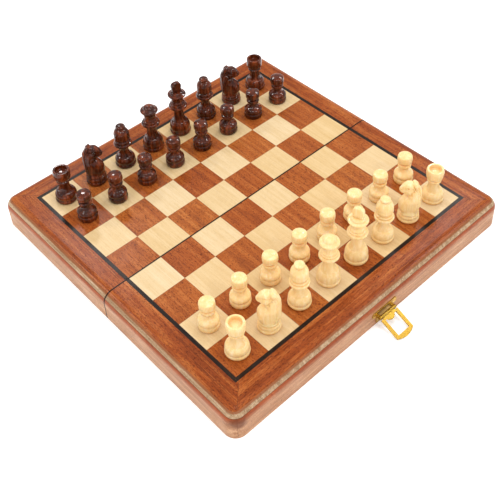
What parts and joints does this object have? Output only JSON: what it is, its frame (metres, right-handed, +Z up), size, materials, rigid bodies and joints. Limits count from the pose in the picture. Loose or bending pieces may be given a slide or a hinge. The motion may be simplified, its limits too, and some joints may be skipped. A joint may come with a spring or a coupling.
{
  "type": "chess set with board",
  "caption": "Folding wooden chess board with inlaid squares, storage trays, hinges and a brass latch, with turned wooden chessmen standing in their starting places.",
  "frame": {"origin": "on the rim plane that the open board stands on, at the middle of the seam between its two halves", "axes": "+X along the ranks from file a to file h, +Y from the white side to the black side, +Z up through the playing surface"},
  "size_m": [0.3048, 0.3331, 0.0845],
  "materials": {
    "mahogany": "satin lacquered mahogany veneer, grain along the files",
    "maple": "satin lacquered pale maple veneer",
    "dark_line": "satin lacquered, dyed charcoal veneer",
    "rail_wood": "satin lacquered solid rails, paler and pinker than the veneer",
    "plywood": "lacquered plywood edge, tan",
    "felt": "thin green felt, glued down",
    "brass": "bright lacquered brass plate",
    "boxwood": "satin polished boxwood",
    "rosewood": "high-gloss lacquered dark red-brown wood"
  },
  "bodies": {
    "white_half": {"white_end_rail": "rail_wood", "white_side_rails": "rail_wood", "white_hinge_rail": "rail_wood", "white_panel": "plywood", "white_border": "mahogany", "white_line_inlay": "dark_line", "white_light_squares": "maple", "white_dark_squares": "mahogany", "white_felt": "felt", "white_hinge_leaves": "brass", "white_screws": "brass", "hinge_pins": "brass", "latch_plate": "brass", "latch_pin": "brass"},
    "black_half": {"black_end_rail": "rail_wood", "black_side_rails": "rail_wood", "black_hinge_rail": "rail_wood", "black_panel": "plywood", "black_border": "mahogany", "black_line_inlay": "dark_line", "black_light_squares": "maple", "black_dark_squares": "mahogany", "black_felt": "felt", "black_hinge_leaves": "brass", "black_screws": "brass", "latch_catch": "brass"},
    "latch_bail": {"latch_bail": "brass"},
    "white_rook_a": {"white_rook_a": "boxwood"},
    "white_knight_b": {"white_knight_b": "boxwood"},
    "white_bishop_c": {"white_bishop_c": "boxwood"},
    "white_queen_d": {"white_queen_d": "boxwood"},
    "white_king_e": {"white_king_e": "boxwood"},
    "white_bishop_f": {"white_bishop_f": "boxwood"},
    "white_knight_g": {"white_knight_g": "boxwood"},
    "white_rook_h": {"white_rook_h": "boxwood"},
    "white_pawn_a": {"white_pawn_a": "boxwood"},
    "white_pawn_b": {"white_pawn_b": "boxwood"},
    "white_pawn_c": {"white_pawn_c": "boxwood"},
    "white_pawn_d": {"white_pawn_d": "boxwood"},
    "white_pawn_e": {"white_pawn_e": "boxwood"},
    "white_pawn_f": {"white_pawn_f": "boxwood"},
    "white_pawn_g": {"white_pawn_g": "boxwood"},
    "white_pawn_h": {"white_pawn_h": "boxwood"},
    "black_rook_a": {"black_rook_a": "rosewood"},
    "black_knight_b": {"black_knight_b": "rosewood"},
    "black_bishop_c": {"black_bishop_c": "rosewood"},
    "black_queen_d": {"black_queen_d": "rosewood"},
    "black_king_e": {"black_king_e": "rosewood"},
    "black_bishop_f": {"black_bishop_f": "rosewood"},
    "black_knight_g": {"black_knight_g": "rosewood"},
    "black_rook_h": {"black_rook_h": "rosewood"},
    "black_pawn_a": {"black_pawn_a": "rosewood"},
    "black_pawn_b": {"black_pawn_b": "rosewood"},
    "black_pawn_c": {"black_pawn_c": "rosewood"},
    "black_pawn_d": {"black_pawn_d": "rosewood"},
    "black_pawn_e": {"black_pawn_e": "rosewood"},
    "black_pawn_f": {"black_pawn_f": "rosewood"},
    "black_pawn_g": {"black_pawn_g": "rosewood"},
    "black_pawn_h": {"black_pawn_h": "rosewood"}
  },
  "joints": [
    {"name": "board_fold", "type": "hinge", "parent": "white_half", "child": "black_half", "pos_m": [0, 0, -0.00005], "axis": [-1, 0, 0], "range_deg": [0, 180]},
    {"name": "latch_swing", "type": "hinge", "parent": "white_half", "child": "latch_bail", "pos_m": [0.0034, -0.15495, 0.0098], "axis": [1, 0, 0], "range_deg": [-112, 66]},
    {"name": "lift_white_rook_a", "type": "slide", "parent": "white_half", "child": "white_rook_a", "axis": [0, 0, 1], "range_m": [0, 0.035]},
    {"name": "lift_white_knight_b", "type": "slide", "parent": "white_half", "child": "white_knight_b", "axis": [0, 0, 1], "range_m": [0, 0.035]},
    {"name": "lift_white_bishop_c", "type": "slide", "parent": "white_half", "child": "white_bishop_c", "axis": [0, 0, 1], "range_m": [0, 0.035]},
    {"name": "lift_white_queen_d", "type": "slide", "parent": "white_half", "child": "white_queen_d", "axis": [0, 0, 1], "range_m": [0, 0.035]},
    {"name": "lift_white_king_e", "type": "slide", "parent": "white_half", "child": "white_king_e", "axis": [0, 0, 1], "range_m": [0, 0.035]},
    {"name": "lift_white_bishop_f", "type": "slide", "parent": "white_half", "child": "white_bishop_f", "axis": [0, 0, 1], "range_m": [0, 0.035]},
    {"name": "lift_white_knight_g", "type": "slide", "parent": "white_half", "child": "white_knight_g", "axis": [0, 0, 1], "range_m": [0, 0.035]},
    {"name": "lift_white_rook_h", "type": "slide", "parent": "white_half", "child": "white_rook_h", "axis": [0, 0, 1], "range_m": [0, 0.035]},
    {"name": "lift_white_pawn_a", "type": "slide", "parent": "white_half", "child": "white_pawn_a", "axis": [0, 0, 1], "range_m": [0, 0.035]},
    {"name": "lift_white_pawn_b", "type": "slide", "parent": "white_half", "child": "white_pawn_b", "axis": [0, 0, 1], "range_m": [0, 0.035]},
    {"name": "lift_white_pawn_c", "type": "slide", "parent": "white_half", "child": "white_pawn_c", "axis": [0, 0, 1], "range_m": [0, 0.035]},
    {"name": "lift_white_pawn_d", "type": "slide", "parent": "white_half", "child": "white_pawn_d", "axis": [0, 0, 1], "range_m": [0, 0.035]},
    {"name": "lift_white_pawn_e", "type": "slide", "parent": "white_half", "child": "white_pawn_e", "axis": [0, 0, 1], "range_m": [0, 0.035]},
    {"name": "lift_white_pawn_f", "type": "slide", "parent": "white_half", "child": "white_pawn_f", "axis": [0, 0, 1], "range_m": [0, 0.035]},
    {"name": "lift_white_pawn_g", "type": "slide", "parent": "white_half", "child": "white_pawn_g", "axis": [0, 0, 1], "range_m": [0, 0.035]},
    {"name": "lift_white_pawn_h", "type": "slide", "parent": "white_half", "child": "white_pawn_h", "axis": [0, 0, 1], "range_m": [0, 0.035]},
    {"name": "lift_black_rook_a", "type": "slide", "parent": "black_half", "child": "black_rook_a", "axis": [0, 0, 1], "range_m": [0, 0.035]},
    {"name": "lift_black_knight_b", "type": "slide", "parent": "black_half", "child": "black_knight_b", "axis": [0, 0, 1], "range_m": [0, 0.035]},
    {"name": "lift_black_bishop_c", "type": "slide", "parent": "black_half", "child": "black_bishop_c", "axis": [0, 0, 1], "range_m": [0, 0.035]},
    {"name": "lift_black_queen_d", "type": "slide", "parent": "black_half", "child": "black_queen_d", "axis": [0, 0, 1], "range_m": [0, 0.035]},
    {"name": "lift_black_king_e", "type": "slide", "parent": "black_half", "child": "black_king_e", "axis": [0, 0, 1], "range_m": [0, 0.035]},
    {"name": "lift_black_bishop_f", "type": "slide", "parent": "black_half", "child": "black_bishop_f", "axis": [0, 0, 1], "range_m": [0, 0.035]},
    {"name": "lift_black_knight_g", "type": "slide", "parent": "black_half", "child": "black_knight_g", "axis": [0, 0, 1], "range_m": [0, 0.035]},
    {"name": "lift_black_rook_h", "type": "slide", "parent": "black_half", "child": "black_rook_h", "axis": [0, 0, 1], "range_m": [0, 0.035]},
    {"name": "lift_black_pawn_a", "type": "slide", "parent": "black_half", "child": "black_pawn_a", "axis": [0, 0, 1], "range_m": [0, 0.035]},
    {"name": "lift_black_pawn_b", "type": "slide", "parent": "black_half", "child": "black_pawn_b", "axis": [0, 0, 1], "range_m": [0, 0.035]},
    {"name": "lift_black_pawn_c", "type": "slide", "parent": "black_half", "child": "black_pawn_c", "axis": [0, 0, 1], "range_m": [0, 0.035]},
    {"name": "lift_black_pawn_d", "type": "slide", "parent": "black_half", "child": "black_pawn_d", "axis": [0, 0, 1], "range_m": [0, 0.035]},
    {"name": "lift_black_pawn_e", "type": "slide", "parent": "black_half", "child": "black_pawn_e", "axis": [0, 0, 1], "range_m": [0, 0.035]},
    {"name": "lift_black_pawn_f", "type": "slide", "parent": "black_half", "child": "black_pawn_f", "axis": [0, 0, 1], "range_m": [0, 0.035]},
    {"name": "lift_black_pawn_g", "type": "slide", "parent": "black_half", "child": "black_pawn_g", "axis": [0, 0, 1], "range_m": [0, 0.035]},
    {"name": "lift_black_pawn_h", "type": "slide", "parent": "black_half", "child": "black_pawn_h", "axis": [0, 0, 1], "range_m": [0, 0.035]}
  ]
}
